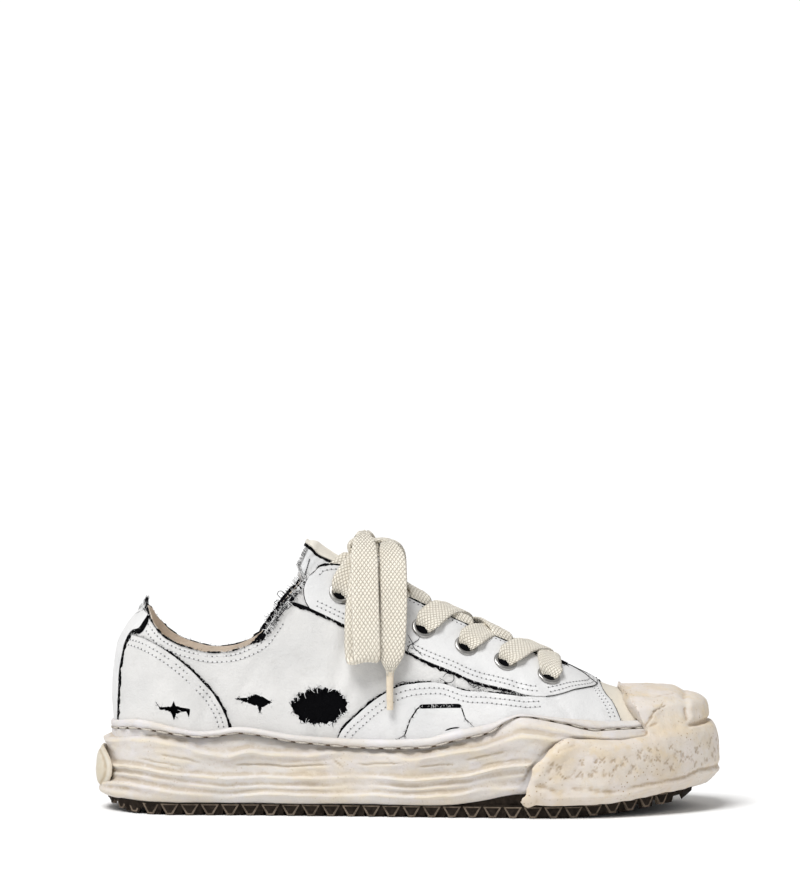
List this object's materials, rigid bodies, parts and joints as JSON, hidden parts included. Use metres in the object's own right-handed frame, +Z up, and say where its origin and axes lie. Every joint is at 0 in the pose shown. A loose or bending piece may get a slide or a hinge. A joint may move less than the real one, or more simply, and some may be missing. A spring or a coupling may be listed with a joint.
{
  "type": "worn out sneaker",
  "caption": "Low lace-up sneaker with a thick sagging rubber sole and toe bumper, a torn and frayed leather upper, and flat laces tied in a bow.",
  "frame": {"origin": "centre of the footprint's box, on the floor under the sole", "axes": "+X along the foot to the toe, +Z up, -Y the lateral (outer) side of this right shoe"},
  "size_m": [0.2999, 0.1149, 0.1313],
  "materials": {
    "tread_rubber": "matt, dusty",
    "sole_rubber": "matt, stained",
    "bead_rubber": "matt",
    "bumper_rubber": "matt, stained",
    "patch_rubber": "matt",
    "upper_leather": "soft, scuffed",
    "tongue_leather": "soft, scuffed",
    "insole_leather": "worn",
    "lace_cotton": "woven",
    "aglet_plastic": "thin sleeve",
    "eyelet_metal": "worn nickel"
  },
  "bodies": {
    "root": {"aglet_lateral": "aglet_plastic", "aglet_medial": "aglet_plastic", "bow_knot": "lace_cotton", "bow_loop_lateral": "lace_cotton", "bow_loop_medial": "lace_cotton", "eyelet_lateral_1": "eyelet_metal", "eyelet_lateral_2": "eyelet_metal", "eyelet_lateral_3": "eyelet_metal", "eyelet_lateral_4": "eyelet_metal", "eyelet_lateral_5": "eyelet_metal", "eyelet_lateral_6": "eyelet_metal", "eyelet_medial_1": "eyelet_metal", "eyelet_medial_2": "eyelet_metal", "eyelet_medial_3": "eyelet_metal", "eyelet_medial_4": "eyelet_metal", "eyelet_medial_5": "eyelet_metal", "eyelet_medial_6": "eyelet_metal", "heel_patch": "patch_rubber", "insole": "insole_leather", "lace_crossings": "lace_cotton", "lace_end_lateral": "lace_cotton", "lace_end_medial": "lace_cotton", "midsole": "sole_rubber", "outsole": "tread_rubber", "toe_bumper": "bumper_rubber", "tongue": "tongue_leather", "upper": "upper_leather", "welt": "bead_rubber"}
  },
  "joints": []
}
